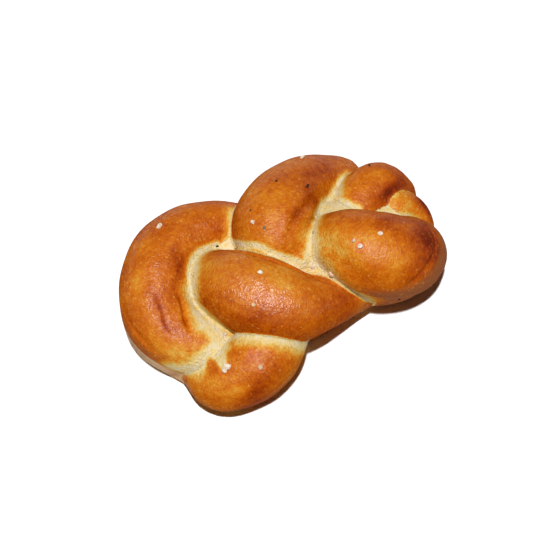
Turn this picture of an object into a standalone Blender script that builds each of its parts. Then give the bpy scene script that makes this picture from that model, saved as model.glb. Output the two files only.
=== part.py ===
"""A small braided sweet bun: seven plaited lobes of dough baked into one piece on a flat tray.

The bun lies along X with its flat sole on the ground and the middle of its outline over the
origin. Each lobe is a thick strand that climbs out from under its neighbour, crosses the top and
dives under the next one. Coarse sugar grains and a few dark crumbs sit half sunk in the crust.
"""
import math
import random

import bmesh
import bpy
import numpy as np
from mathutils import Matrix, Vector
from mathutils.bvhtree import BVHTree

MM = 0.001

# Strands: a station is x, y, the height of the strand's middle and half its width, in mm
LOBES = {
    "left_loop": [(-5, 28, 11.5, 9), (-16, 30, 16, 11.5), (-28, 30.5, 17.5, 13.5), (-41, 25.5, 20, 14.3),
                  (-50, 14.5, 20, 14.6), (-53.6, 3.2, 18.3, 14.3), (-49.7, -8, 15.8, 13),
                  (-43, -15, 12.5, 12.5)],
    "front_end": [(-48.5, -19, 8, 9), (-45, -26.5, 10, 12.5), (-35, -30.5, 14.5, 13.5),
                  (-26, -29.5, 17.5, 13.5), (-18, -25, 14, 12.5)],
    "middle": [(-28, 7.5, 18, 13), (-23, -2, 24, 15.5), (-16, -13, 26, 16.5), (-6.5, -20.5, 23.5, 14.5),
               (3, -22.3, 19.3, 11.3), (12, -21.7, 14.3, 10), (21, -22, 11, 8.5)],
    "back_top": [(42.5, 28, 6, 11), (33, 29, 12, 12), (20.5, 26.5, 18.5, 14),
                 (9, 20, 22, 16.5), (3, 10.5, 22, 17.5), (5, 3, 19.5, 14)],
    "right": [(20.5, -4, 20, 13.5), (24, -9, 26.5, 15), (29, -16.5, 28.5, 17),
              (38, -21.5, 24.5, 17), (45.5, -20.5, 17, 16)],
    "back_end": [(57.5, 9, 10, 10), (53, 12, 14, 11.5), (46.5, 11.5, 15.5, 12), (38, 6.5, 16, 11)],
    "right_tip": [(60, -8, 8, 6.5), (58, -1.3, 12.5, 7.5), (54, 1, 15, 8)],
}

# Dough that fills the loaf under the lobes, and how far a lobe's foot stands back under it
CORES = [
    [(-44, -6, 8, 12), (-22, -6, 11, 15), (4, -2, 12, 16), (28, 2, 12, 16), (48, -2, 9, 13)],
    [(-36, 13, 8, 12), (-14, 18, 9, 14), (14, 17, 9, 14), (40, 13, 8, 13)],
    [(-57, 17, 3, 8.5), (-58.8, 8, 3, 8.5), (-58, 1, 3, 8.5), (-53.5, -7.5, 3.5, 8.5), (-48.5, -15.5, 4, 9)],
    [(-57, 15, 11, 9), (-58.5, 8, 11, 9), (-57.6, 1, 11, 9), (-53.3, -7.5, 10, 9), (-49, -13.5, 8.5, 9)],
]
LEAN = {"middle": 4.5, "right": 2.5}

# Dough that the right lobe spread over the middle one at their seam
APRON = [(10, -7, 20, 7), (13.5, -13, 20.5, 7.5), (15.5, -18, 19.5, 7.5), (17.5, -22, 16, 6)]
SOLE_FILL = (-4, 0, 1, 108, 56, 16)

# Section of a strand: flattened by its own weight, with a narrower foot spread on the tray
FLATTENING = 0.88
FOOT_WIDTH = 0.9
FOOT_HEIGHT = 0.62
STEP_MM = 2.0
CAP_ANGLES_DEG = (25, 50, 70, 84)
ROUNDNESS = 6
FILL_SEGMENTS = 32
FILL_RINGS = 16
WELD_MM = 0.01

# Skin: how finely the strands are melted together, and how many triangles are kept
SKIN_CELL_MM = 1.1
SOFTENING_PASSES = 8
SOFTENING_SHARE = 0.5
SKIN_TRIANGLES = 10600

# The tray that the sole is cut by
TRAY_MM = 300
TRAY_DEPTH_MM = 20

# Folds pressed into the crust: depth and half width in mm, then points x, y, z near the crust
FOLDS = [
    (0.35, 1.0, [(-52.5, 10, 31), (-53.2, 5.3, 30.4), (-53.8, 1.2, 29.3), (-55.2, -3, 28), (-55, -8, 26.7)]),
    (1.3, 1.2, [(-47.6, -10.2, 26.2), (-47.4, -5.5, 26.4), (-45.6, -1, 26.8), (-45.5, 4.5, 28)]),
    (0.4, 1.4, [(-60.5, -13, 21), (-63, -6, 23), (-64.5, 3, 24), (-63.5, 12, 25)]),
    (0.7, 1.2, [(-19, 9.5, 31), (-14, 2.5, 34.5), (-8, -4, 35.5),
                (-1.5, -10, 34.5), (4, -15.5, 31), (10, -22, 25)]),
    (0.6, 1.7, [(3, 2.4, 35), (8.6, 7.2, 36.1), (11.9, 8.9, 35.2), (15.5, 11.1, 33.4), (22.7, 15.3, 28.6)]),
    (1.0, 4.5, [(14, -5, 34.5), (15, -12, 36.5), (15.5, -19, 36), (18, -25.5, 34), (22.5, -31, 30)]),
    (0.7, 1.3, [(26.4, -35.4, 25.9), (35.5, -36.2, 30.5), (47.1, -30.9, 31.2),
                (52.4, -26, 29.9), (53.1, -19.8, 29.9)]),
]
FOLD_ENDS = 0.04
FOLD_STEP_MM = 0.5

# Toppings: x, y, z near the crust and width, in mm
GRAINS = [(-37.5, 33.5, 30, 2.5), (-5.5, 14.5, 35, 2.0), (28.5, 34.6, 23.2, 1.9), (21.5, -15, 43, 1.7),
          (22.5, -18.5, 43, 2.3), (31.5, -18, 43, 1.9), (-15.5, -8, 40, 1.9), (-24, -17.5, 39, 2.1),
          (7.3, -9.5, 25.5, 2.1), (10, -17.5, 28, 2.2), (-44.2, -30, 26, 2.4), (-42.4, -29.4, 26, 2.7),
          (-35.5, -15.8, 21, 1.7), (-32, -37, 27.7, 2.1)]
CRUMBS = [(11.5, 26.5, 36, 1.2), (21.5, 19.5, 32, 1.3), (22.5, 20.3, 31.5, 1.1), (-3, 19, 33, 0.9),
          (-3, 10, 35, 1.1), (-20, 18.5, 22, 1.2), (51.5, 19, 22, 1.0), (32, -35.4, 16.3, 0.9),
          (13.5, 1, 31, 1.2)]
GRAIN_SUNK = 0.2
CRUMB_SUNK = 0.25

# Shape of a topping: its corners, height, rise of its middle and unevenness, as shares of its width
LUMP_SEGMENTS = 6
LUMP_RINGS = 4
LUMP_HEIGHT = 0.8
LUMP_RISE = 0.4
LUMP_STRETCH = (0.85, 1.15)
LUMP_SEED = 7


def clear_scene():
    """Remove every object that the scene starts with."""
    for obj in list(bpy.data.objects):
        bpy.data.objects.remove(obj, do_unlink=True)


def new_collection(name):
    """Add a collection to the scene and return it."""
    collection = bpy.data.collections.new(name)
    bpy.context.scene.collection.children.link(collection)
    return collection


def material(name, colour, roughness):
    """Make a plain material of one colour."""
    mat = bpy.data.materials.new(name)
    mat.use_nodes = True
    shader = mat.node_tree.nodes["Principled BSDF"]
    shader.inputs["Base Color"].default_value = (*colour, 1.0)
    shader.inputs["Roughness"].default_value = roughness
    shader.inputs["Metallic"].default_value = 0.0
    return mat


def smooth_route(stations, step):
    """Read points from the natural cubic spline through the stations, one every step."""
    points = np.array(stations, dtype=float)
    spans = np.linalg.norm(np.diff(points[:, :3], axis=0), axis=1)
    along = np.concatenate([[0.0], np.cumsum(spans)])
    count = len(points)
    system = np.eye(count)
    bend = np.zeros_like(points)
    for i in range(1, count - 1):
        before, after = spans[i - 1], spans[i]
        system[i, i - 1 : i + 2] = (before, 2 * (before + after), after)
        bend[i] = 6 * ((points[i + 1] - points[i]) / after - (points[i] - points[i - 1]) / before)
    second = np.linalg.solve(system, bend)
    places = np.linspace(0.0, along[-1], max(4, round(along[-1] / step)))
    span = np.clip(np.searchsorted(along, places, side="right") - 1, 0, count - 2)
    width = spans[span][:, None]
    right = (places - along[span])[:, None]
    left = width - right
    cubic = (second[span] * left**3 + second[span + 1] * right**3) / (6 * width)
    line_left = (points[span] / width - second[span] * width / 6) * left
    line_right = (points[span + 1] / width - second[span + 1] * width / 6) * right
    return cubic + line_left + line_right


def round_ends(route):
    """Add points past both ends of a route, so that the strand closes with a round end."""
    def cap(end, inner):
        outward = end[:3] - inner[:3]
        outward /= np.linalg.norm(outward)
        rows = []
        for angle in np.radians(CAP_ANGLES_DEG):
            place = end[:3] + outward * end[3] * math.sin(angle)
            rows.append([*place, end[3] * math.cos(angle)])
        return np.array(rows)

    head = cap(route[0], route[1])[::-1]
    tail = cap(route[-1], route[-2])
    return np.concatenate([head, route, tail])


def strand(name, route, collection):
    """Model one strand as a round tube of changing width, flattened along Z."""
    curve = bpy.data.curves.new(name, "CURVE")
    curve.dimensions = "3D"
    curve.bevel_depth = MM
    curve.bevel_resolution = ROUNDNESS
    curve.use_fill_caps = True
    points = round_ends(route)
    spline = curve.splines.new("POLY")
    spline.points.add(len(points) - 1)
    for target, (x, y, z, half_width) in zip(spline.points, points):
        target.co = (x * MM, y * MM, z * MM / FLATTENING, 1.0)
        target.radius = half_width
    tube = bpy.data.objects.new(name, curve)
    tube.scale.z = FLATTENING
    collection.objects.link(tube)
    return tube


def as_mesh(obj):
    """Turn an object into a plain mesh object with its modifiers and transform applied."""
    bpy.context.view_layer.update()
    graph = bpy.context.evaluated_depsgraph_get()
    mesh = bpy.data.meshes.new_from_object(obj.evaluated_get(graph), depsgraph=graph)
    mesh.transform(obj.matrix_world)
    result = bpy.data.objects.new(obj.name, mesh)
    for collection in obj.users_collection:
        collection.objects.link(result)
    name = obj.name
    bpy.data.objects.remove(obj, do_unlink=True)
    result.name = name
    return result


def weld(obj):
    """Weld the loose caps of a mesh that came from a curve."""
    bm = bmesh.new()
    bm.from_mesh(obj.data)
    bmesh.ops.remove_doubles(bm, verts=bm.verts, dist=WELD_MM * MM)
    bmesh.ops.recalc_face_normals(bm, faces=bm.faces)
    bm.to_mesh(obj.data)
    bm.free()


def join(objects, name, collection):
    """Put several meshes into one object."""
    bm = bmesh.new()
    for obj in objects:
        bm.from_mesh(obj.data)
        bpy.data.objects.remove(obj, do_unlink=True)
    mesh = bpy.data.meshes.new(name)
    bm.to_mesh(mesh)
    bm.free()
    result = bpy.data.objects.new(name, mesh)
    collection.objects.link(result)
    return result


def ball(name, matrix, segments, rings, collection):
    """Model a ball of width 1, stretched and placed by the matrix."""
    bm = bmesh.new()
    bmesh.ops.create_uvsphere(bm, u_segments=segments, v_segments=rings, radius=0.5, matrix=matrix)
    mesh = bpy.data.meshes.new(name)
    bm.to_mesh(mesh)
    bm.free()
    obj = bpy.data.objects.new(name, mesh)
    collection.objects.link(obj)
    return obj


def dough(collection):
    """Lay the plait: each lobe with its foot, the core that fills the middle and the apron."""
    tubes = []
    for name, stations in LOBES.items():
        route = smooth_route(stations, STEP_MM)
        foot = route.copy()
        foot[:, 1] += LEAN.get(name, 0)
        foot[:, 2] = np.minimum(route[:, 2], FOOT_HEIGHT * route[:, 3])
        foot[:, 3] *= FOOT_WIDTH
        flank = (route + foot) / 2
        tubes.append(strand(name, route, collection))
        tubes.append(strand(name + "_flank", flank, collection))
        tubes.append(strand(name + "_foot", foot, collection))
    for stations in [*CORES, APRON]:
        tubes.append(strand("core", smooth_route(stations, STEP_MM), collection))
    meshes = [as_mesh(tube) for tube in tubes]
    for mesh in meshes:
        weld(mesh)
    x, y, z, length, width, height = (value * MM for value in SOLE_FILL)
    size = Matrix.Diagonal((length, width, height, 1.0))
    place = Matrix.Translation((x, y, z)) @ size
    meshes.append(ball("sole_fill", place, FILL_SEGMENTS, FILL_RINGS, collection))
    return join(meshes, "bun", collection)


def melt(obj):
    """Melt the strands into one skin and soften the seams between them."""
    skin = obj.modifiers.new("skin", "REMESH")
    skin.mode = "VOXEL"
    skin.voxel_size = SKIN_CELL_MM * MM
    soft = obj.modifiers.new("soften", "SMOOTH")
    soft.factor = SOFTENING_SHARE
    soft.iterations = SOFTENING_PASSES
    return as_mesh(obj)


def crust_of(obj):
    """Make the tree that finds the nearest place on an object's surface."""
    return BVHTree.FromObject(obj, bpy.context.evaluated_depsgraph_get())


def press_folds(obj):
    """Press the folds into the crust by moving the points near them inward."""
    mesh = obj.data
    count = len(mesh.vertices)
    places = np.zeros(count * 3)
    mesh.vertices.foreach_get("co", places)
    places = places.reshape(count, 3)
    normals = np.zeros(count * 3)
    mesh.vertices.foreach_get("normal", normals)
    normals = normals.reshape(count, 3)
    move = np.zeros(count)
    skin = crust_of(obj)
    for depth, half_width, points in FOLDS:
        line = smooth_route(points, FOLD_STEP_MM)
        route = np.array([skin.find_nearest(Vector(point) * MM)[0] for point in line])
        gap = np.linalg.norm(places[:, None] - route[None], axis=2)
        nearest = gap.min(axis=1)
        share = gap.argmin(axis=1) / (len(route) - 1)
        fade = np.sin(np.pi * np.clip(share, FOLD_ENDS, 1 - FOLD_ENDS)) ** 0.5
        upward = np.clip(normals[:, 2], 0, 1)
        move += depth * MM * fade * upward * np.exp(-((nearest / (half_width * MM)) ** 2))
    places -= normals * move[:, None]
    mesh.vertices.foreach_set("co", places.ravel())
    mesh.update()


def thin_out(obj):
    """Keep only as many triangles as the skin needs."""
    faces = sum(len(face.vertices) - 2 for face in obj.data.polygons)
    fewer = obj.modifiers.new("fewer", "DECIMATE")
    fewer.decimate_type = "COLLAPSE"
    fewer.ratio = min(1.0, SKIN_TRIANGLES / faces)
    fewer.use_collapse_triangulate = True
    return as_mesh(obj)


def cut_sole(obj, cutters):
    """Cut the bun flat where it rests on the tray."""
    side, depth = TRAY_MM * MM, TRAY_DEPTH_MM * MM
    bm = bmesh.new()
    size = Matrix.Diagonal((side, side, depth, 1.0))
    bmesh.ops.create_cube(bm, size=1.0, matrix=Matrix.Translation((0, 0, -depth / 2)) @ size)
    mesh = bpy.data.meshes.new("tray")
    bm.to_mesh(mesh)
    bm.free()
    tray = bpy.data.objects.new("tray", mesh)
    tray.hide_render = True
    tray.display_type = "WIRE"
    cutters.objects.link(tray)
    cut = obj.modifiers.new("sole", "BOOLEAN")
    cut.operation = "DIFFERENCE"
    cut.solver = "EXACT"
    cut.object = tray
    result = as_mesh(obj)
    bpy.data.objects.remove(tray, do_unlink=True)
    return result


def centre(obj):
    """Set the bun down with the middle of its box over the origin."""
    corners = np.array([vertex.co for vertex in obj.data.vertices])
    middle = (corners.min(axis=0) + corners.max(axis=0)) / 2
    obj.data.transform(Matrix.Translation((-middle[0], -middle[1], -corners[:, 2].min())))


def topping(name, skin, place, sunk, look, rng, collection):
    """Set one small uneven lump on the crust, sunk into it by a share of its width."""
    *near, width = (value * MM for value in place)
    spot, normal, _, _ = skin.find_nearest(Vector(near))
    stretch = [width * rng.uniform(*LUMP_STRETCH) for _ in range(2)]
    size = Matrix.Diagonal((*stretch, width * LUMP_HEIGHT, 1.0))
    spin = Matrix.Rotation(rng.uniform(0, math.tau), 4, "Z")
    upright = normal.to_track_quat("Z", "Y").to_matrix().to_4x4()
    middle = Matrix.Translation(spot + normal * width * (LUMP_RISE - sunk))
    lump = ball(name, middle @ upright @ spin @ size, LUMP_SEGMENTS, LUMP_RINGS, collection)
    lump.data.materials.append(look)
    return lump


def fuse_toppings(bun, looks, collection):
    """Join the grains and the crumbs to the bun by one union."""
    toppings = new_collection("toppings")
    skin = crust_of(bun)
    rng = random.Random(LUMP_SEED)
    for i, place in enumerate(GRAINS):
        topping(f"grain_{i + 1}", skin, place, GRAIN_SUNK, looks["sugar"], rng, toppings)
    for i, place in enumerate(CRUMBS):
        topping(f"crumb_{i + 1}", skin, place, CRUMB_SUNK, looks["crumb"], rng, toppings)
    union = bun.modifiers.new("toppings", "BOOLEAN")
    union.operation = "UNION"
    union.solver = "EXACT"
    union.operand_type = "COLLECTION"
    union.collection = toppings
    union.material_mode = "TRANSFER"
    result = as_mesh(bun)
    for lump in list(toppings.objects):
        bpy.data.objects.remove(lump, do_unlink=True)
    bpy.data.collections.remove(toppings)
    return result


def main():
    clear_scene()
    parts = new_collection("braided_sweet_bun")
    cutters = new_collection("cutters")
    looks = {
        "crust": material("crust", (0.62, 0.27, 0.07), 0.4),
        "sugar": material("sugar", (0.9, 0.87, 0.8), 0.35),
        "crumb": material("crumb", (0.06, 0.035, 0.02), 0.5),
    }
    bun = dough(parts)
    bun = melt(bun)
    press_folds(bun)
    bun = thin_out(bun)
    bun = cut_sole(bun, cutters)
    bun.data.materials.clear()
    bun.data.materials.append(looks["crust"])
    bun = fuse_toppings(bun, looks, parts)
    centre(bun)
    bun.data.shade_smooth()


main()
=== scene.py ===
"""Looks of a small braided sweet bun.

A glazed orange-brown crust runs over seven plump lobes of dough. It stays pale where the lobes
were stretched apart in the oven. Coarse sugar grains and a few dark crumbs sit in the crust.
"""

import logging
import math
import random
from dataclasses import dataclass, field
from enum import Enum
from functools import reduce

import bmesh
import bpy
import numpy as np
from mathutils import Matrix, Vector
from mathutils.bvhtree import BVHTree


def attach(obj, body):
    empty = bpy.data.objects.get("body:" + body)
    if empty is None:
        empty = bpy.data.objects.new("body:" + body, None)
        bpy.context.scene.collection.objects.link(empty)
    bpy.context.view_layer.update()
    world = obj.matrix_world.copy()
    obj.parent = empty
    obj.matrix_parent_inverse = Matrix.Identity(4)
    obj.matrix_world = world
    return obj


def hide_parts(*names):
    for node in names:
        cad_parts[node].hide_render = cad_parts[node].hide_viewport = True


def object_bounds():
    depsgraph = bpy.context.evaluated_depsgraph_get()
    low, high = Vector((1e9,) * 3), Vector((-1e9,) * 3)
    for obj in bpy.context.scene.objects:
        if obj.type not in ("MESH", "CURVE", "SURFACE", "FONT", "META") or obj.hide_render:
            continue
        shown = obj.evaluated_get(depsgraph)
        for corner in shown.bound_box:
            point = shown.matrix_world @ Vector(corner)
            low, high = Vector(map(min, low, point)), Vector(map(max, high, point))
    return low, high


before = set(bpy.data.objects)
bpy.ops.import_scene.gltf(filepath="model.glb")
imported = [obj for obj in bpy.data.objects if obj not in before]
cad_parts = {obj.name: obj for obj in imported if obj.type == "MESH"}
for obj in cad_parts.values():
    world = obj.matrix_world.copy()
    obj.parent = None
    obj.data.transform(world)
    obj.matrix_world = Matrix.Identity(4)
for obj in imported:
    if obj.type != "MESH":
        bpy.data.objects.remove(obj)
CAD_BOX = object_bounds()

MM = 0.001
LINE_STEP = 0.4
ABOVE = 0.1
log = logging.getLogger("braided_sweet_bun")

Array = np.ndarray
Object = bpy.types.Object
Material = bpy.types.Material
Node = bpy.types.Node
Tree = bpy.types.NodeTree
Socket = bpy.types.NodeSocket
Colour = tuple[float, float, float, float]
Station = tuple[float, float, float, float]
Point = tuple[float, float]
Triple = tuple[float, float, float]


class Lobe(Enum):
    """The seven lobes of the plait, and the dough that fills the loaf under them."""

    LEFT_LOOP = 0
    FRONT_END = 1
    MIDDLE = 2
    BACK_TOP = 3
    RIGHT = 4
    BACK_END = 5
    RIGHT_TIP = 6
    CORE = 7


# Stations: x, y, height of the strand's middle and half its width, in mm
STATIONS: dict[Lobe, list[Station]] = {
    Lobe.LEFT_LOOP: [
        (-5, 28, 11.5, 9), (-16, 30, 16, 11.5), (-28, 30.5, 17.5, 13.5), (-41, 25.5, 20, 14.3),
        (-50, 14.5, 20, 14.6), (-53.6, 3.2, 18.3, 14.3), (-49.7, -8, 15.8, 13), (-43, -15, 12.5, 12.5),
    ],
    Lobe.FRONT_END: [
        (-48.5, -19, 8, 9), (-45, -26.5, 10, 12.5), (-35, -30.5, 14.5, 13.5), (-26, -29.5, 17.5, 13.5),
        (-18, -25, 14, 12.5),
    ],
    Lobe.MIDDLE: [
        (-28, 7.5, 18, 13), (-23, -2, 24, 15.5), (-16, -13, 26, 16.5), (-6.5, -20.5, 23.5, 14.5),
        (3, -22.3, 19.3, 11.3), (12, -21.7, 14.3, 10), (21, -22, 11, 8.5),
    ],
    Lobe.BACK_TOP: [
        (42.5, 28, 6, 11), (33, 29, 12, 12), (20.5, 26.5, 18.5, 14), (9, 20, 22, 16.5), (3, 10.5, 22, 17.5),
        (5, 3, 19.5, 14),
    ],
    Lobe.RIGHT: [
        (20.5, -4, 20, 13.5), (24, -9, 26.5, 15), (29, -16.5, 28.5, 17), (38, -21.5, 24.5, 17),
        (45.5, -20.5, 17, 16),
    ],
    Lobe.BACK_END: [(57.5, 9, 10, 10), (53, 12, 14, 11.5), (46.5, 11.5, 15.5, 12), (38, 6.5, 16, 11)],
    Lobe.RIGHT_TIP: [(60, -8, 8, 6.5), (58, -1.3, 12.5, 7.5), (54, 1, 15, 8)],
}
CORES: list[list[Station]] = [
    [(-44, -6, 8, 12), (-22, -6, 11, 15), (4, -2, 12, 16), (28, 2, 12, 16), (48, -2, 9, 13)],
    [(-36, 13, 8, 12), (-14, 18, 9, 14), (14, 17, 9, 14), (40, 13, 8, 13)],
]
# The left loop's foot, where it spread on the tray
FOOT: list[list[Station]] = [
    [(-57, 17, 3, 8.5), (-58.8, 8, 3, 8.5), (-58, 1, 3, 8.5), (-53.5, -7.5, 3.5, 8.5),
     (-48.5, -15.5, 4, 9)],
    [(-57, 15, 11, 9), (-58.5, 8, 11, 9), (-57.6, 1, 11, 9), (-53.3, -7.5, 10, 9), (-49, -13.5, 8.5, 9)],
]
# Dough that a lobe spread over its neighbour at their seam
APRONS: dict[Lobe, list[Station]] = {
    Lobe.RIGHT: [(10, -7, 20, 7), (13.5, -13, 20.5, 7.5), (15.5, -18, 19.5, 7.5), (17.5, -22, 16, 6)],
}
LEAN: dict[Lobe, float] = {Lobe.MIDDLE: 4.5, Lobe.RIGHT: 2.5}
# Toppings: x, y, z near the crust, width in mm, and how faded each is
GRAINS: list[tuple[float, ...]] = [
    (-37.5, 33.5, 30, 2.5, 0), (-5.5, 14.5, 35, 2.0, 0), (28.5, 34.6, 23.2, 1.9, 0),
    (21.5, -15, 43, 1.7, 0), (22.5, -18.5, 43, 2.3, 0), (31.5, -18, 43, 1.9, 0), (-15.5, -8, 40, 1.9, 0),
    (-24, -17.5, 39, 2.1, 0.8), (7.3, -9.5, 25.5, 2.1, 0.15), (10, -17.5, 28, 2.2, 0.4),
    (-44.2, -30, 26, 2.4, 0), (-42.4, -29.4, 26, 2.7, 0), (-35.5, -15.8, 21, 1.7, 0.5),
    (-32, -37, 27.7, 2.1, 0.7),
]
CRUMBS: list[tuple[float, ...]] = [
    (11.5, 26.5, 36, 1.2, 0), (21.5, 19.5, 32, 1.3, 0), (22.5, 20.3, 31.5, 1.1, 0), (-3, 19, 33, 0.9, 0),
    (-3, 10, 35, 1.1, 0.35), (-20, 18.5, 22, 1.2, 0), (51.5, 19, 22, 1.0, 0), (32, -35.4, 16.3, 0.9, 0),
    (13.5, 1, 31, 1.2, 0.75),
]


def smooth_route(stations: list[Station], step: float) -> Array:
    """Read points from the natural cubic spline through the stations.

    Args:
        stations: Rows of x, y, z and half width, in mm.
        step: Spacing of the points along the route, in mm.

    Returns:
        Rows of x, y, z and half width.
    """
    points = np.array(stations, dtype=float)
    spans = np.linalg.norm(np.diff(points[:, :3], axis=0), axis=1)
    along = np.concatenate([[0.0], np.cumsum(spans)])
    count = len(points)
    system = np.eye(count)
    bend = np.zeros_like(points)
    for i in range(1, count - 1):
        before, after = spans[i - 1], spans[i]
        system[i, i - 1 : i + 2] = (before, 2 * (before + after), after)
        bend[i] = 6 * ((points[i + 1] - points[i]) / after - (points[i] - points[i - 1]) / before)
    second = np.linalg.solve(system, bend)
    places = np.linspace(0.0, along[-1], max(4, round(along[-1] / step)))
    span = np.clip(np.searchsorted(along, places, side="right") - 1, 0, count - 2)
    width = spans[span][:, None]
    right = (places - along[span])[:, None]
    left = width - right
    cubic = (second[span] * left**3 + second[span + 1] * right**3) / (6 * width)
    line_left = (points[span] / width - second[span] * width / 6) * left
    line_right = (points[span + 1] / width - second[span + 1] * width / 6) * right
    return cubic + line_left + line_right


@dataclass(frozen=True)
class Nearness:
    """How points lie to a line on the crust: which are near, and for those the rest."""

    near: Array
    gap: Array
    share: Array
    on_left: Array
    half_width: Array


def ramp(values: Array, start: float | Array, length: float) -> Array:
    """Rise from 0 to 1 over a length past a start, or fall to 0 before it where the length is below 0."""
    return np.clip((values - start) / length, 0, 1)


def skin_of(obj: Object) -> BVHTree:
    """Make the tree that finds places on an object's surface."""
    return BVHTree.FromObject(obj, bpy.context.evaluated_depsgraph_get())


def drop(skin: BVHTree, x: float, y: float) -> Vector:
    """Find the place on the crust straight below x and y, in mm."""
    return skin.ray_cast(Vector((x * MM, y * MM, ABOVE)), Vector((0, 0, -1)))[0]


def near_line(places: Array, stations: tuple[Station, ...], reach: float, skin: BVHTree) -> Nearness:
    """Measure points against a smooth line that is laid on the crust.

    Args:
        places: Points in mm.
        stations: Rows of x, y, z and half width along the line, in mm.
        reach: How far from the line's box points still count as near, in mm.
        skin: The crust that the line is laid on.

    Returns:
        The near points' distance, their place along the line from 0 to 1, whether they lie on
        its left as seen from above, and the line's half width there.
    """
    rows = smooth_route(list(stations), LINE_STEP)
    route = np.array([skin.find_nearest(Vector(place) * MM)[0] for place in rows[:, :3]]) / MM
    near = np.all((places > route.min(axis=0) - reach) & (places < route.max(axis=0) + reach), axis=1)
    offset = places[near][:, None] - route[None]
    gaps = np.linalg.norm(offset, axis=2)
    at = gaps.argmin(axis=1)
    way = np.gradient(route, axis=0)[at]
    side = offset[np.arange(len(at)), at]
    on_left = way[:, 0] * side[:, 1] - way[:, 1] * side[:, 0] > 0
    return Nearness(near, gaps.min(axis=1), at / (len(route) - 1), on_left, rows[at, 3])


def apply_modifiers(obj: Object) -> None:
    """Replace an object's mesh by the mesh that its modifiers give, and drop the modifiers.

    Args:
        obj: The object.
    """
    bpy.context.view_layer.update()
    graph = bpy.context.evaluated_depsgraph_get()
    mesh = bpy.data.meshes.new_from_object(obj.evaluated_get(graph), depsgraph=graph)
    obj.modifiers.clear()
    obj.data = mesh


def link(name: str, bm: bmesh.types.BMesh) -> Object:
    """Write a bmesh into a new object in the scene and free the bmesh.

    Args:
        name: The name of the mesh and of the object.
        bm: The bmesh.

    Returns:
        The object.
    """
    mesh = bpy.data.meshes.new(name)
    bm.to_mesh(mesh)
    bm.free()
    obj = bpy.data.objects.new(name, mesh)
    bpy.context.scene.collection.objects.link(obj)
    return obj


def vertex_array(mesh: bpy.types.Mesh, name: str) -> Array:
    """Read a mesh's vertices.

    Args:
        mesh: The mesh.
        name: "co" for their places, "normal" for their normals.

    Returns:
        Rows of three numbers.
    """
    values = np.zeros(len(mesh.vertices) * 3, dtype=np.float32)
    mesh.vertices.foreach_get(name, values)
    return values.reshape(-1, 3).astype(float)


@dataclass
class StrandBuilder:
    """Models strands of dough as tubes that are flattened by their own weight."""

    flattening: float = 0.88
    foot_width: float = 0.9
    foot_height: float = 0.62
    step_mm: float = 2.0
    sides: int = 28
    cap_angles_deg: tuple[float, ...] = (25, 50, 70, 84)

    def levels(self, lobe: Lobe) -> list[Array]:
        """Lay a lobe's route on top, on its flank, at its foot and in its apron.

        Args:
            lobe: The lobe, or the core, whose routes are its own.

        Returns:
            For each route rows of x, y, z and half width, in mm.
        """
        if lobe is Lobe.CORE:
            return [smooth_route(stations, self.step_mm) for stations in CORES]
        route = smooth_route(STATIONS[lobe], self.step_mm)
        foot = route.copy()
        foot[:, 1] += LEAN.get(lobe, 0.0)
        foot[:, 2] = np.minimum(route[:, 2], self.foot_height * route[:, 3])
        foot[:, 3] *= self.foot_width
        aprons = [smooth_route(APRONS[lobe], self.step_mm)] if lobe in APRONS else []
        return [route, (route + foot) / 2, foot, *aprons]

    def with_round_ends(self, route: Array) -> Array:
        """Add rows past both ends of a route, so that the tube closes with round ends.

        Args:
            route: Rows of x, y, z and half width.

        Returns:
            The longer route.
        """
        caps = []
        for end, inner in ((route[0], route[1]), (route[-1], route[-2])):
            outward = end[:3] - inner[:3]
            outward = outward / np.linalg.norm(outward)
            rows = []
            for angle in np.radians(self.cap_angles_deg):
                place = end[:3] + outward * end[3] * math.sin(angle)
                rows.append([*place, end[3] * math.cos(angle)])
            caps.append(np.array(rows))
        return np.concatenate([caps[0][::-1], route, caps[1]])

    def add_tube(self, bm: bmesh.types.BMesh, route: Array) -> None:
        """Sweep a circle along a route by extruding it from ring to ring.

        Args:
            bm: The mesh that the tube is added to.
            route: Rows of x, y, z and half width, in mm.
        """
        rows = self.with_round_ends(route) * MM
        heading = np.gradient(rows[:, :3], axis=0)
        squash = Matrix.Diagonal((1.0, 1.0, self.flattening, 1.0))
        places = []
        for (x, y, z, half_width), way in zip(rows, heading):
            centre = Vector((x, y, z / self.flattening))
            turn = Vector(way).to_track_quat("Z", "Y").to_matrix().to_4x4()
            size = Matrix.Diagonal((half_width, half_width, half_width, 1.0))
            places.append(squash @ Matrix.Translation(centre) @ turn @ size)
        ring = bmesh.ops.create_circle(bm, segments=self.sides, radius=1.0, matrix=places[0])["verts"]
        first = list({edge for vert in ring for edge in vert.link_edges})
        edges, placed = first, places[0]
        for place in places[1:]:
            made = bmesh.ops.extrude_edge_only(bm, edges=edges)["geom"]
            ring = [item for item in made if isinstance(item, bmesh.types.BMVert)]
            edges = [item for item in made if isinstance(item, bmesh.types.BMEdge)]
            bmesh.ops.transform(bm, matrix=place @ placed.inverted(), verts=ring)
            placed = place
        bmesh.ops.holes_fill(bm, edges=first + edges, sides=0)


@dataclass(frozen=True)
class Fold:
    """A fold pressed into the crust.

    Its line is given by rows of x, y, z and half width, in mm. The crust is pressed in by the
    depth on the line, raised by the lip on its left, and darkened in the fold: painted shade in
    the crease, partly darker crust.
    """

    depth: float
    lip: float
    shade_and_browning: float
    line: tuple[Station, ...]


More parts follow.
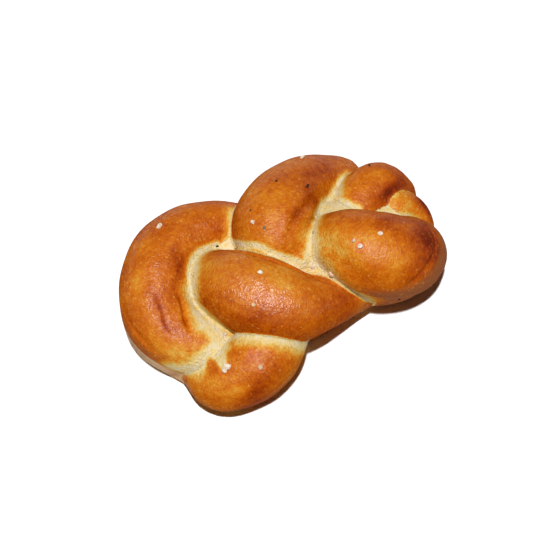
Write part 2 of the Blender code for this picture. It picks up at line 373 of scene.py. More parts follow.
@dataclass
class Relief:
    """Folds, wrinkles and gentle lumps of the crust, as moves of the mesh's points."""

    folds: tuple[Fold, ...] = (
        Fold(0.35, 0.0, 0.15, (
            (-52.5, 10, 31, 0.6), (-53.2, 5.3, 30.4, 0.8), (-53.8, 1.2, 29.3, 0.8), (-55.2, -3, 28, 0.8),
            (-55, -8, 26.7, 0.6),
        )),
        Fold(1.3, 0.2, 0.34, (
            (-47.6, -10.2, 26.2, 0.8), (-47.4, -5.5, 26.4, 1.1), (-45.6, -1, 26.8, 1.1),
            (-45.5, 4.5, 28, 0.8),
        )),
        Fold(0.35, 0.2, 0.05, (
            (-60.5, -13, 21, 1.2), (-63, -6, 23, 1.2), (-64.5, 3, 24, 1.2), (-63.5, 12, 25, 1.2),
        )),
        Fold(0.7, 0.5, 0.16, (
            (-19, 9.5, 31, 0.6), (-14, 2.5, 34.5, 0.7), (-8, -4, 35.5, 0.7), (-1.5, -10, 34.5, 0.7),
            (4, -15.5, 31, 0.7), (10, -22, 25, 0.6),
        )),
        Fold(0.6, 0.5, 0.02, (
            (3, 2.4, 35, 1.5), (5.9, 4.9, 35.6, 1.6), (8.6, 7.2, 36.1, 1.6), (11.9, 8.9, 35.2, 1.6),
            (15.5, 11.1, 33.4, 1.6), (22.7, 15.3, 28.6, 1.5),
        )),
        Fold(1.0, 0.0, 0.0, (
            (14, -5, 34.5, 4), (15, -12, 36.5, 4.5), (15.5, -19, 36, 4.5), (18, -25.5, 34, 4.5),
            (22.5, -31, 30, 4),
        )),
        Fold(0.7, 0.3, 0.0, (
            (26.4, -35.4, 25.9, 1.1), (35.5, -36.2, 30.5, 1.1), (41.8, -34.1, 31.6, 1.1),
            (47.1, -30.9, 31.2, 1.1), (52.4, -26, 29.9, 1.1), (53.1, -19.8, 29.9, 1.1),
        )),
    )
    fold_ends: float = 0.04
    reach: float = 9.0
    lump_mm: float = 0.35
    seed: int = 11

    def press(self, places: Array, normals: Array, skin: BVHTree) -> tuple[Array, Array]:
        """Work out the folds' relief and their darkening, painted crease shade with some darker crust.

        Args:
            places: Points in mm.
            normals: The points' normals.
            skin: The crust.

        Returns:
            The move along the normal at each point, in mm, and the folds' darkening: painted crease shade,
            partly darker crust.
        """
        moves = np.zeros(len(places))
        dark = np.zeros(len(places))
        for fold in self.folds:
            line = near_line(places, fold.line, self.reach, skin)
            gap = line.gap / line.half_width
            fade = np.sin(np.pi * np.clip(line.share, self.fold_ends, 1 - self.fold_ends)) ** 0.5
            fade = fade * np.clip(normals[line.near][:, 2] * 2, 0, 1)
            lip = fold.lip * line.on_left * np.exp(-((gap - 2) ** 2))
            moves[line.near] += fade * (lip - fold.depth * np.exp(-(gap**2)))
            # Painted shade, partly darker crust, along the fold's line.
            dark[line.near] += fade * fold.shade_and_browning * np.exp(-((gap / 1.2) ** 2))
        return moves, dark

    def lumps(self, places: Array) -> Array:
        """Sum slow waves in random directions, for the crust's gentle unevenness.

        Args:
            places: Points in mm.

        Returns:
            The move along the normal at each point, in mm.
        """
        rng = np.random.default_rng(self.seed)
        total = np.zeros(len(places))
        for wavelength in (26.0, 17.0, 11.0, 7.5):
            for _ in range(4):
                way = rng.normal(size=3)
                way /= np.linalg.norm(way)
                phase = rng.uniform(0, math.tau)
                total += wavelength * np.sin(places @ way * math.tau / wavelength + phase)
        return self.lump_mm * total / np.abs(total).max()


@dataclass(frozen=True)
class Patch:
    """A place on the crust that baked darker (above 0) or stayed lighter (below 0), in mm."""

    x: float
    y: float
    long: float
    short: float
    turn_deg: float
    amount: float

    def weight(self, places: Array) -> Array:
        """Work out how much of the patch there is at each point.

        Args:
            places: Points in mm.

        Returns:
            1 in the patch's middle, falling to 0 far from it.
        """
        turn = math.radians(self.turn_deg)
        dx, dy = places[:, 0] - self.x, places[:, 1] - self.y
        along = (dx * math.cos(turn) + dy * math.sin(turn)) / self.long
        across = (dy * math.cos(turn) - dx * math.sin(turn)) / self.short
        return np.exp(-(along**2 + across**2))


def patches(rows: tuple[tuple[float, ...], ...]) -> tuple[Patch, ...]:
    """Make patches from rows of x, y, long, short, turn_deg and amount."""
    return tuple(Patch(*row) for row in rows)


@dataclass(frozen=True)
class Band:
    """A pale band along a line on the crust, where the dough was stretched.

    Its line is given by rows of x, y, z and half width, in mm. The crust turns golden and then
    brown over the given width beside it, on each lobe that it pales.
    """

    line: tuple[Station, ...]
    golden: dict[Lobe, float]


@dataclass
class BakeMap:
    """Works out how brown each point of the crust is, from the lobes and the named patches."""

    strands: StrandBuilder
    crown: float = 0.58
    side_drop: float = 0.06
    browned: tuple[Patch, ...] = patches((
        (21, 17, 11, 4, 50, 0.15), (12, 9.5, 9, 2, 38, 0.12), (32, 27, 9, 5, 10, 0.14),
        (-2, 13, 12, 9, 20, -0.13), (-3, 3, 10, 2.5, -52, -0.08), (10, 0.5, 11, 4, 48, -0.20),
        (50, -25, 9, 6.5, 65, 0.42), (40, -34, 12, 3, 15, 0.12), (41, -14, 10, 3, -10, 0.14),
        (16, -12, 11, 5, -65, -0.20), (16.5, -6, 5, 4, 0, -0.12), (52, 5, 9, 2.6, 16, 0.30),
        (7, 24, 7, 5, 40, -0.04), (46, 10, 4, 4, 0, -0.06), (60, 10, 5, 6, 0, 0.16),
        (52, 18, 8, 3, -20, 0.10), (36, 13, 6, 4, 50, -0.12), (65.5, -2, 3.5, 9, 0, 0.42),
        (55, -2, 5, 5, 0, -0.15), (-27, -22, 12, 4, -52, 0.20), (-8, -32, 11, 5, -10, 0.14),
        (10, -29, 8, 7, 0, 0.12), (-15, -11, 14, 8, -50, -0.20), (28, -20, 12, 8, -45, -0.10),
        (-33, 6, 4, 7, 20, -0.12), (-39.5, 14.5, 9, 2.4, 64, 0.18), (-54.5, 0, 8, 1.6, 85, 0.10),
        (-59.5, -1, 8, 2.6, 80, -0.18), (-56.5, -13, 6, 4, -35, -0.20), (-50, -17, 6, 3, -10, -0.20),
        (-45, -11, 4, 5, 20, -0.20), (-57, 14, 6, 2, 65, -0.08), (-50.5, -30, 7, 4, -55, -0.20),
        (-44, -38, 6, 2.5, -15, -0.14), (-34.5, -24, 5, 2.2, -5, -0.14), (-22, -38, 9, 5, 20, -0.06),
        (-41, -43, 14, 3, 8, 0.22), (-8, -8, 10, 4, -38, -0.10),
    ))
    tongues: tuple[Patch, ...] = patches((
        (-46.4, -24.5, 1.6, 4.0, -10, 0.75), (-45, -14.5, 2.2, 2.0, 40, 0.45),
    ))
    bands: tuple[Band, ...] = (
        Band((
            (-20.7, 19.2, 21.4, 1.5), (-26.6, 18.6, 24, 1.3), (-31, 16.5, 26.3, 1.3), (-34.2, 13, 27, 1.4),
            (-36.5, 8.5, 27, 1.5), (-38, 4.5, 25.5, 1.7),
        ), {Lobe.LEFT_LOOP: 2.2, Lobe.MIDDLE: 6.0}),
        Band((
            (-38, 4.5, 25.5, 1.7), (-40.4, 0.6, 22.8, 1.9), (-41, -4.8, 23.2, 2.3),
            (-39.9, -10.4, 23.1, 2.6), (-38, -15.8, 22.2, 2.7),
        ), {Lobe.LEFT_LOOP: 7.0, Lobe.MIDDLE: 2.8, Lobe.FRONT_END: 3.5}),
        Band((
            (-38.5, -16, 22.2, 2.6), (-41.3, -20.5, 22.2, 2.3), (-45.5, -20.6, 22.2, 1.8),
            (-49, -21.3, 20.9, 1.6), (-51.9, -21.6, 19.1, 1.7), (-54.8, -20.3, 17.8, 1.5),
            (-57.7, -18.2, 16.8, 1.1), (-59.6, -16.1, 16.8, 0.4),
        ), {Lobe.LEFT_LOOP: 5.0, Lobe.FRONT_END: 5.0, Lobe.MIDDLE: 1.5}),
        Band((
            (-41, -20.5, 22.1, 1.8), (-42.2, -24, 22.8, 1.7), (-43, -27.5, 24, 0.9),
        ), {Lobe.LEFT_LOOP: 2.5, Lobe.FRONT_END: 2.6}),
        Band((
            (-38, -17, 22.2, 1.6), (-34, -18, 22.5, 1.0), (-32, -20.6, 25.3, 0.6),
            (-30.2, -22.6, 27.2, 0.4), (-26.3, -25.7, 29.4, 0.2), (-19.9, -30.5, 28.8, 0.2),
        ), {Lobe.FRONT_END: 6.5}),
        Band((
            (-15.1, 17, 21.4, 1.2), (-13.6, 13.7, 25.5, 0.8), (-11, 9.1, 30, 0.6), (-8.8, 5.9, 32, 0.6),
            (-6.3, 2.4, 32.1, 0.6), (-4.8, 0.3, 31.6, 0.7), (-2.3, -2.4, 30.4, 0.9), (0.6, -5, 28.5, 1.2),
            (4.2, -8.3, 26.2, 1.5),
        ), {Lobe.BACK_TOP: 2.0, Lobe.LEFT_LOOP: 4.0}),
        Band((
            (-14.6, 17, 21.8, 0.9), (-13.1, 20.5, 22.4, -0.3), (-11.9, 22.6, 23.8, -1.2),
            (-9.8, 26.4, 24.2, -1.6), (-7.7, 30.1, 23.1, -2),
        ), {Lobe.LEFT_LOOP: 6.0, Lobe.BACK_TOP: 1.0}),
        Band((
            (44.5, 25.5, 15.6, -1.2), (42.5, 23.8, 16.7, -0.4), (39, 20.5, 18.4, 0.8),
            (34.8, 16.6, 20.2, 1.5), (29.3, 13.6, 21.7, 1.8), (24.1, 11.8, 23.7, 1.1),
            (19.2, 7.8, 27.8, 0.2), (15.1, 3.3, 30.5, 0.2), (13, 0.6, 31, 0.7), (10.6, -2.7, 30.4, 1.2),
            (9, -5.5, 29, 1.8), (7.4, -8.2, 26.4, 2.4),
        ), {Lobe.BACK_TOP: 3.0, Lobe.RIGHT: 6.0, Lobe.BACK_END: 5.0}),
        Band((
            (29, 13.6, 21.7, 1.6), (32.1, 11.7, 22.7, 1.2), (33.5, 8, 24.6, 0.8), (36.5, 4, 25.2, 0.5),
        ), {Lobe.BACK_END: 2.6, Lobe.BACK_TOP: 2.0}),
        Band((
            (7.4, -9.5, 27, 1.5), (9.3, -15, 27, 1.5), (10.5, -19, 27, 1.5), (12.5, -22.3, 25, 1.1),
            (15, -25.6, 21.5, 0.8), (17.4, -28, 18.6, 0.7), (19.8, -30, 15.5, 0.5),
        ), {Lobe.RIGHT: 8.0, Lobe.BACK_TOP: 3.0}),
    )
    # Per lobe: the height under which steep walls take the darker side colour with its painted pinkish
    # sheen, and how strongly.
    walls: dict[Lobe, Point] = field(default_factory=lambda: {
        Lobe.LEFT_LOOP: (25, 0.4), Lobe.FRONT_END: (14, 0.5), Lobe.MIDDLE: (18, 0.6),
        Lobe.BACK_TOP: (22, 0.6), Lobe.RIGHT: (31, 1.0), Lobe.BACK_END: (20, 0.6),
        Lobe.RIGHT_TIP: (14, 0.6), Lobe.CORE: (14, 0.6),
    })
    edges: dict[tuple[Lobe, Lobe], Point] = field(default_factory=lambda: {
        (Lobe.MIDDLE, Lobe.LEFT_LOOP): (0.4, 4.0),
        (Lobe.FRONT_END, Lobe.MIDDLE): (1.2, 7.0),
        (Lobe.BACK_END, Lobe.RIGHT): (0.4, 2.8),
        (Lobe.RIGHT_TIP, Lobe.BACK_END): (-1.6, 6.0),
        (Lobe.RIGHT_TIP, Lobe.RIGHT): (0.7, 3.0),
        (Lobe.BACK_END, Lobe.RIGHT_TIP): (-1.0, 1.2),
    })
    brushed: dict[Lobe, float] = field(default_factory=lambda: {
        Lobe.MIDDLE: 2.2, Lobe.RIGHT: 0.85, Lobe.FRONT_END: 0.8, Lobe.BACK_END: 0.8, Lobe.RIGHT_TIP: 0.5,
    })
    skirt: Patch = Patch(-66, -4, 22, 16, 80, 1.3)
    skirt_top: float = 17.0
    skirt_fade: float = 6.0
    other_edge: Point = (0.2, 0.9)
    band_reach: float = 11.0
    full_cover: float = 1.3
    browned_height: float = 22.0
    wall_fade: float = 4.0
    # Starts and lengths of ramps over the cover, and over the normals' upward part
    outer: Point = (0.7, 0.5)
    steep: Point = (0.66, -0.25)
    glazed: Point = (0.6, 0.25)
    # The glaze where nothing is baked, its loss as the bake grows, and its least share
    glaze_by_bake: Triple = (2.5, 2.3, 0.15)
    lobes_apart: float = 40.0

    def gaps(self, places: Array) -> tuple[Array, Array]:
        """Measure how far each point is from each lobe's surface.

        Args:
            places: Points in mm.

        Returns:
            The gap to each lobe and the core, in mm, one column each, and for each point and
            lobe the nearest place along the lobe's route, as a row number.
        """
        scale = np.array([1, 1, 1 / self.strands.flattening])
        points = places * scale
        gap = np.full((len(points), len(Lobe)), 1e9)
        nearest = np.zeros((len(points), len(Lobe)), dtype=int)
        for lobe in Lobe:
            routes = self.strands.levels(lobe)
            last = len(routes[0]) - 1
            for route in routes:
                for row, (x, y, z, half_width) in enumerate(route):
                    away = np.linalg.norm(points - np.array([x, y, z]) * scale, axis=1) - half_width
                    closer = away < gap[:, lobe.value]
                    gap[closer, lobe.value] = away[closer]
                    nearest[closer, lobe.value] = min(row, last)
        for stations in FOOT:
            for x, y, z, half_width in smooth_route(stations, self.strands.step_mm):
                away = np.linalg.norm(points - np.array([x, y, z]) * scale, axis=1) - half_width
                gap[:, Lobe.LEFT_LOOP.value] = np.minimum(gap[:, Lobe.LEFT_LOOP.value], away)
        return gap, nearest

    def values(self, places: Array, normals: Array, skin: BVHTree) -> dict[str, Array]:
        """Work out the crust's attributes.

        Args:
            places: Points in mm.
            normals: The points' normals.
            skin: The crust.

        Returns:
            "bake" from 0, raw, to 1, dark; "cover" from 0, raw seam, to 1, full crust; "sheened_wall",
            the share of steep side crust that takes the side colour, darker crust with a painted pinkish
            sheen; "glaze", the share of the glazed top; "skirt", the share of the pale dough just over
            the tray; "flow", the place along and around the strand.
        """
        gap, nearest = self.gaps(places)
        owner = gap.argmin(axis=1)
        rows = np.arange(len(places))
        widths = np.full((len(Lobe), len(Lobe), 2), self.other_edge)
        for (own, beside), edge in self.edges.items():
            widths[own.value, beside.value] = edge
        cover = np.full(len(places), self.full_cover)
        for beside in Lobe:
            if beside is Lobe.CORE:
                continue
            reach = gap[:, beside.value] - gap[rows, owner]
            raw, golden = widths[owner, beside.value].T
            cover = np.where(owner == beside.value, cover, np.minimum(cover, (reach - raw) / golden))
        for band in self.bands:
            line = near_line(places, band.line, self.band_reach, skin)
            golden = np.array([band.golden.get(lobe, 0.0) for lobe in Lobe])[owner[line.near]]
            beside = (line.gap - line.half_width) / np.maximum(golden, 0.01)
            cover[line.near] = np.where(golden > 0, np.minimum(cover[line.near], beside), cover[line.near])
        cover[owner == Lobe.CORE.value] = 0.0
        for patch in self.tongues:
            cover += patch.amount * patch.weight(places)
        top = np.clip(places[:, 2] / self.browned_height, 0, 1)
        bake = self.crown - self.side_drop * (1 - top) ** 1.5
        for patch in self.browned:
            bake = bake + patch.amount * patch.weight(places)
        # Steep walls low on each lobe get the darker side colour with a painted pinkish sheen.
        tops, strengths = np.array([self.walls[lobe] for lobe in Lobe])[owner].T
        steep = ramp(normals[:, 2], *self.steep)
        sheened_wall = ramp(cover, *self.outer) * strengths * steep * ramp(places[:, 2], tops, -self.wall_fade)
        brushed = np.array([self.brushed.get(lobe, 1.0) for lobe in Lobe])[owner]
        most, loss, least = self.glaze_by_bake
        glaze = brushed * ramp(normals[:, 2], *self.glazed) * np.clip(most - loss * bake, least, 1)
        return {
            "bake": bake, "cover": np.clip(cover, -1, 2), "sheened_wall": sheened_wall, "glaze": glaze,
            "skirt": self.skirt.weight(places) * ramp(places[:, 2], self.skirt_top, -self.skirt_fade),
            "flow": self.flow(places, owner, nearest[rows, owner]),
        }

    def flow(self, places: Array, owner: Array, row: Array) -> Array:
        """Find each point's place along and around its own strand.

        Args:
            places: Points in mm.
            owner: The number of each point's lobe.
            row: The row of the lobe's route that is nearest to each point.

        Returns:
            The places along and around, in mm, and a number that differs from lobe to lobe.
        """
        flow = np.zeros((len(places), 3))
        for lobe in Lobe:
            mine = owner == lobe.value
            if lobe is Lobe.CORE or not mine.any():
                continue
            route = smooth_route(STATIONS[lobe], self.strands.step_mm)
            heading = np.gradient(route[:, :3], axis=0)
            heading /= np.linalg.norm(heading, axis=1)[:, None]
            steps = np.concatenate([[0], np.cumsum(np.linalg.norm(np.diff(route[:, :3], axis=0), axis=1))])
            at = row[mine]
            offset = places[mine] - route[at, :3]
            way = heading[at]
            ahead = (offset * way).sum(axis=1)
            side = np.cross(way, [0, 0, 1])
            side /= np.linalg.norm(side, axis=1)[:, None]
            up = np.cross(side, way)
            angle = np.arctan2((offset * side).sum(axis=1), (offset * up).sum(axis=1))
            flow[mine, 0] = steps[at] + ahead
            flow[mine, 1] = angle * route[at, 3]
            flow[mine, 2] = self.lobes_apart * lobe.value
        return flow


class Graph:
    """Short calls that add and join nodes of one node tree."""

    def __init__(self, tree: Tree) -> None:
        """Keep the tree that the nodes are added to."""
        self.tree = tree

    def add(self, kind: str, settings: dict | None = None, **inputs: object) -> Node:
        """Add a node.

        Args:
            kind: The node's type name.
            settings: Values of the node's own properties.
            **inputs: A socket or a value for each named input, with _ for a space in the name.

        Returns:
            The node.
        """
        node = self.tree.nodes.new(kind)
        for name, value in (settings or {}).items():
            setattr(node, name, value)
        self.fill(node, **inputs)
        return node

    def fill(self, node: Node, **inputs: object) -> None:
        """Link or set a node's named inputs, with _ for a space in the name."""
        for name, value in inputs.items():
            self.join(value, node.inputs[name.replace("_", " ")])

    def join(self, value: object, target: Socket) -> None:
        """Link a socket to the target, or set the target's value.

        Args:
            value: A socket or a plain value.
            target: An input.
        """
        if isinstance(value, Socket):
            self.tree.links.new(value, target)
        else:
            target.default_value = value

    def math(self, operation: str, *values: object, clamp: bool = False) -> Socket:
        """Add a Math node.

        Args:
            operation: Its operation.
            *values: Its inputs' sockets or values.
            clamp: Whether its result is held from 0 to 1.

        Returns:
            Its output.
        """
        node = self.add("ShaderNodeMath", {"operation": operation, "use_clamp": clamp})
        for value, target in zip(values, node.inputs):
            self.join(value, target)
        return node.outputs[0]

    def times(self, *values: object) -> Socket:
        """Multiply values, in their order."""
        return reduce(lambda first, other: self.math("MULTIPLY", first, other), values)

    def plus(self, *values: object) -> Socket:
        """Add values, in their order."""
        return reduce(lambda first, other: self.math("ADD", first, other), values)

    def span(self, value: object, low: float, high: float, to: Point = (0.0, 1.0)) -> Socket:
        """Map a value smoothly from low..high to the given range, and hold it there.

        Args:
            value: The value.
            low: Where the rise starts.
            high: Where it ends.
            to: The values at low and at high.

        Returns:
            The mapped value.
        """
        return self.add(
            "ShaderNodeMapRange", {"interpolation_type": "SMOOTHSTEP"},
            Value=value, From_Min=low, From_Max=high, To_Min=to[0], To_Max=to[1],
        ).outputs["Result"]

    def mix(self, share: object, first: object, second: object) -> Socket:
        """Mix two colours.

        Args:
            share: The second colour's share.
            first: A colour.
            second: A colour.

        Returns:
            The mixed colour.
        """
        node = self.add("ShaderNodeMix", {"data_type": "RGBA"})
        for value, target in ((share, node.inputs[0]), (first, node.inputs[6]), (second, node.inputs[7])):
            self.join(value, target)
        return node.outputs[2]

    def group(self, tree: Tree, **inputs: object) -> Node:
        """Add one of the shared node groups."""
        return self.add("ShaderNodeGroup", {"node_tree": tree}, **inputs)

    def attribute(self, name: str, output: str = "Fac") -> Socket:
        """Read one of the mesh's own attributes."""
        return self.add("ShaderNodeAttribute", {"attribute_name": name}).outputs[output]

    def noise(self, vector: object, per_mm: float, detail: float = 3.0) -> Socket:
        """Add a noise whose waves are 1 / per_mm millimetres long, from 0 to 1."""
        return self.add("ShaderNodeTexNoise", Vector=vector, Scale=per_mm, Detail=detail).outputs["Fac"]

    def uneven(self, vector: object, per_mm: float, detail: float, strength: float) -> Socket:
        """Add a noise about 0, with the given strength."""
        return self.times(self.math("SUBTRACT", self.noise(vector, per_mm, detail), 0.5), strength)

    def stretched(self, vector: object, scale: Triple) -> Socket:
        """Scale a vector along its axes."""
        node = self.add("ShaderNodeMapping", {"vector_type": "POINT"}, Vector=vector, Scale=scale)
        return node.outputs[0]

    def bump(self, height: object, target: Socket, **inputs: object) -> None:
        """Tilt the target's normal by a height in millimetres."""
        node = self.add("ShaderNodeBump", Height=height, Distance=MM, **inputs)
        self.join(node.outputs["Normal"], target)

    def in_mm(self) -> Socket:
        """Read the Object coordinates.

        Returns:
            The place in millimetres.
        """
        place = self.add("ShaderNodeTexCoord").outputs["Object"]
        scaled = self.add("ShaderNodeVectorMath", {"operation": "SCALE"}, Vector=place, Scale=1 / MM)
        return scaled.outputs[0]


def new_material(name: str) -> tuple[Material, Graph, Node]:
    """Start a material.

    Args:
        name: The material's name.

    Returns:
        The material, the graph of its nodes and its shader.
    """
    material = bpy.data.materials.new(name)
    material.use_nodes = True
    return material, Graph(material.node_tree), material.node_tree.nodes["Principled BSDF"]


def rgba(red: float, green: float, blue: float) -> Colour:
    """An opaque colour, in linear light."""
    return (red, green, blue, 1.0)


def shader_group(name: str, inputs: dict[str, str], outputs: dict[str, str]) -> tuple[Graph, Node, Node]:
    """Start a shader node group.

    Args:
        name: The group's name.
        inputs: Type of each named input socket.
        outputs: Type of each named output socket.

    Returns:
        A graph of the group, its input node and its output node.
    """
    tree = bpy.data.node_groups.new(name, "ShaderNodeTree")
    for label, kind in inputs.items():
        tree.interface.new_socket(label, in_out="INPUT", socket_type=kind)
    for label, kind in outputs.items():
        tree.interface.new_socket(label, in_out="OUTPUT", socket_type=kind)
    graph = Graph(tree)
    return graph, graph.add("NodeGroupInput"), graph.add("NodeGroupOutput")


VALUE = "NodeSocketFloat"
VECTOR = "NodeSocketVector"


class Effects:
    """Shader node groups that the bun's materials share."""

    def __init__(self) -> None:
        """Build every group once."""
        self.mottle = self.build_mottle()
        self.blisters = self.build_blisters()
        self.ring = self.build_ring()

    def build_mottle(self) -> Tree:
        """Slow and quick unevenness together, about 0, with a wanted strength.

        Returns:
            The group.
        """
        graph, given, out = shader_group("mottle", {"Place": VECTOR, "Strength": VALUE}, {"Value": VALUE})
        slow = graph.noise(given.outputs["Place"], 0.09, 2.0)
        quick = graph.noise(given.outputs["Place"], 0.45, 4.0)
        both = graph.plus(graph.times(slow, 1.2), graph.times(quick, 0.8))
        centred = graph.math("SUBTRACT", both, 1.0)
        graph.join(graph.times(centred, given.outputs["Strength"]), out.inputs["Value"])
        return graph.tree

    def build_blisters(self) -> Tree:
        """Small round dots at random places: their mask and their domed height.

        Returns:
            The group.
        """
        graph, given, out = shader_group(
            "blisters",
            {"Place": VECTOR, "Per mm": VALUE, "Size": VALUE, "Share": VALUE},
            {"Mask": VALUE, "Height": VALUE},
        )
        cells = graph.add(
            "ShaderNodeTexVoronoi", Vector=given.outputs["Place"], Scale=given.outputs["Per mm"]
        )
        pick = graph.add("ShaderNodeSeparateColor", Color=cells.outputs["Color"])
        chosen = graph.math("LESS_THAN", pick.outputs[0], given.outputs["Share"])
        size = graph.times(given.outputs["Size"], graph.plus(0.6, pick.outputs[1]))
        away = graph.math("DIVIDE", cells.outputs["Distance"], size)
        dome = graph.math("SUBTRACT", 1.0, away, clamp=True)
        height = graph.times(graph.math("POWER", dome, 0.6), chosen)
        graph.join(graph.times(graph.span(dome, 0.05, 0.5), chosen), out.inputs["Mask"])
        graph.join(height, out.inputs["Height"])
        return graph.tree

    def build_ring(self) -> Tree:
        """A soft ring round a point of the crust.

        Returns:
            The group.
        """
        graph, given, out = shader_group(
            "ring", {"Place": VECTOR, "Centre": VECTOR, "Radius": VALUE, "Width": VALUE}, {"Mask": VALUE}
        )
        away = graph.add("ShaderNodeVectorMath", {"operation": "DISTANCE"})
        graph.join(given.outputs["Place"], away.inputs[0])
        graph.join(given.outputs["Centre"], away.inputs[1])
        offset = graph.math("SUBTRACT", away.outputs["Value"], given.outputs["Radius"])
        share = graph.math("DIVIDE", offset, given.outputs["Width"])
        squared = graph.times(share, share)
        graph.join(graph.math("SUBTRACT", 1.0, squared, clamp=True), out.inputs["Mask"])
        return graph.tree


@dataclass(frozen=True)
class RingMark:
    """A coloured ring in the crust round a grain, in mm."""

    x: float
    y: float
    radius: float
    width: float
    colour: Colour
    strength: float


@dataclass(frozen=True)
class CrustFinish:
    """Glazed, oven-browned crust: pale where it was stretched, darker on the crowns."""

    tones: tuple[tuple[float, Colour], ...] = (
        (0.00, rgba(0.70, 0.59, 0.38)),
        (0.12, rgba(0.70, 0.53, 0.20)),
        (0.26, rgba(0.66, 0.36, 0.055)),
        (0.38, rgba(0.63, 0.215, 0.012)),
        (0.54, rgba(0.54, 0.128, 0.003)),
        (0.70, rgba(0.42, 0.074, 0.001)),
        (0.86, rgba(0.27, 0.032, 0.001)),
        (1.00, rgba(0.15, 0.014, 0.001)),
    )
    # Darker crust of the steep side walls, tinted with a painted pinkish sheen of grazing reflection.
    side: Colour = rgba(0.33, 0.10, 0.028)
    skirt: Colour = rgba(0.74, 0.50, 0.30)
    sole: Colour = rgba(0.36, 0.155, 0.05)
    fleck: Colour = rgba(0.70, 0.32, 0.07)
    # Painted shade inside the seams' open pores: its dark greenish colour and its share.
    pore_shade: Colour = rgba(0.36, 0.33, 0.18)
    pore_shade_share: float = 0.35
    specular: float = 0.03
    roughness: Point = (0.5, 0.62)
    dryness: float = 0.3
    coat: Point = (0.33, 0.62)
    coat_roughness: float = 0.36
    mottle: float = 0.42
    speckle: float = 0.26
    # Unevenness of the seams' edges: waves in a millimetre and strength
    ragged: tuple[Point, ...] = ((0.22, 0.6), (0.9, 0.4))
    # Streaks: waves in a millimetre along and around the strand, and strength
    streaks: tuple[tuple[Triple, float], ...] = (((0.09, 0.30, 1.0), 0.20), ((1.1, 0.4, 1.0), 0.24))
    # Dots, flecks and pores: how many in a millimetre, their size and the share that shows
    dot_kinds: tuple[Triple, ...] = ((0.62, 0.36, 0.4), (1.15, 0.33, 0.55), (0.95, 0.36, 0.45))

    def build(self, effects: Effects, rings: list[tuple[RingMark, Vector]]) -> Material:
        """Make the material.

        Args:
            effects: The shared node groups.
            rings: Each ring mark with its place on the crust.

        Returns:
            The crust's material.
        """
        material, graph, shader = new_material("crust")
        place = graph.in_mm()
        flow = graph.attribute("flow", "Vector")
        cover = self.cover(graph, place)
        colour = self.browning(graph, effects, place, flow, cover)
        low = graph.add("ShaderNodeSeparateXYZ", Vector=place).outputs["Z"]
        # Painted pinkish sheen: steep side walls take the darker, sheened side colour.
        sheened_wall = graph.times(graph.attribute("sheened_wall"), cover)
        colour = graph.mix(sheened_wall, colour, self.side)
        pale = graph.plus(graph.attribute("skirt"), graph.uneven(place, 0.25, 3.0, 0.8))
        colour = graph.mix(graph.span(pale, 0.15, 0.85, (0.0, 0.9)), colour, self.skirt)
        dots, flecks, pores = (self.dots(graph, effects, place, kind) for kind in self.dot_kinds)
        both = graph.math("MAXIMUM", dots.outputs["Mask"], graph.times(flecks.outputs["Mask"], 0.6))
        patchy = graph.span(graph.noise(place, 0.28, 2.0), 0.35, 0.65, (0.25, 1.0))
        light = graph.times(both, patchy, cover)
        faint = graph.span(graph.attribute("bake"), 0.55, 0.85, (0.5, 0.15))
        colour = graph.mix(graph.times(light, faint), colour, self.fleck)
        bare = graph.math("SUBTRACT", 1.0, cover)
        # Painted shade in the open pores of the bare seams.
        colour = graph.mix(graph.times(pores.outputs["Mask"], bare, self.pore_shade_share), colour, self.pore_shade)
        for mark, spot in rings:
            ring = graph.group(
                effects.ring, Place=place, Centre=tuple(spot / MM), Radius=mark.radius, Width=mark.width
            )
            colour = graph.mix(graph.times(ring.outputs["Mask"], mark.strength), colour, mark.colour)
        colour = graph.mix(graph.span(low, 0.15, 0.5, (1.0, 0.0)), colour, self.sole)
        rough = graph.span(graph.noise(place, 0.6, 3.0), 0.3, 0.7, self.roughness)
        glaze = graph.times(graph.attribute("glaze"), graph.math("ADD", cover, 0.3, clamp=True))
        dry = graph.times(graph.math("SUBTRACT", 1.0, glaze), self.dryness)
        brushed = graph.span(graph.noise(place, 0.3, 3.0), 0.35, 0.6, self.coat)
        graph.fill(
            shader, Base_Color=colour, Roughness=graph.plus(rough, dry),
            Coat_Weight=graph.times(glaze, brushed), Coat_Roughness=self.coat_roughness,
            Specular_IOR_Level=self.specular,
        )
        self.add_bump(graph, place, flow, (dots, flecks, pores), bare, shader)
        return material

    def dots(self, graph: Graph, effects: Effects, place: object, kind: Triple) -> Node:
        """Add small dots of one kind."""
        per_mm, size, share = kind
        return graph.group(effects.blisters, Place=place, Per_mm=per_mm, Size=size, Share=share)

    def cover(self, graph: Graph, place: object) -> Socket:
        """How fully the crust covers the dough, with a soft uneven edge along the seams.

        Args:
            graph: The material's graph.
            place: The place on the piece, in mm.

        Returns:
            The cover, from 0 to 1.
        """
        cover = graph.attribute("cover")
        for per_mm, strength in self.ragged:
            cover = graph.plus(cover, graph.uneven(place, per_mm, 4.0, strength))
        return graph.span(cover, -0.15, 1.1)

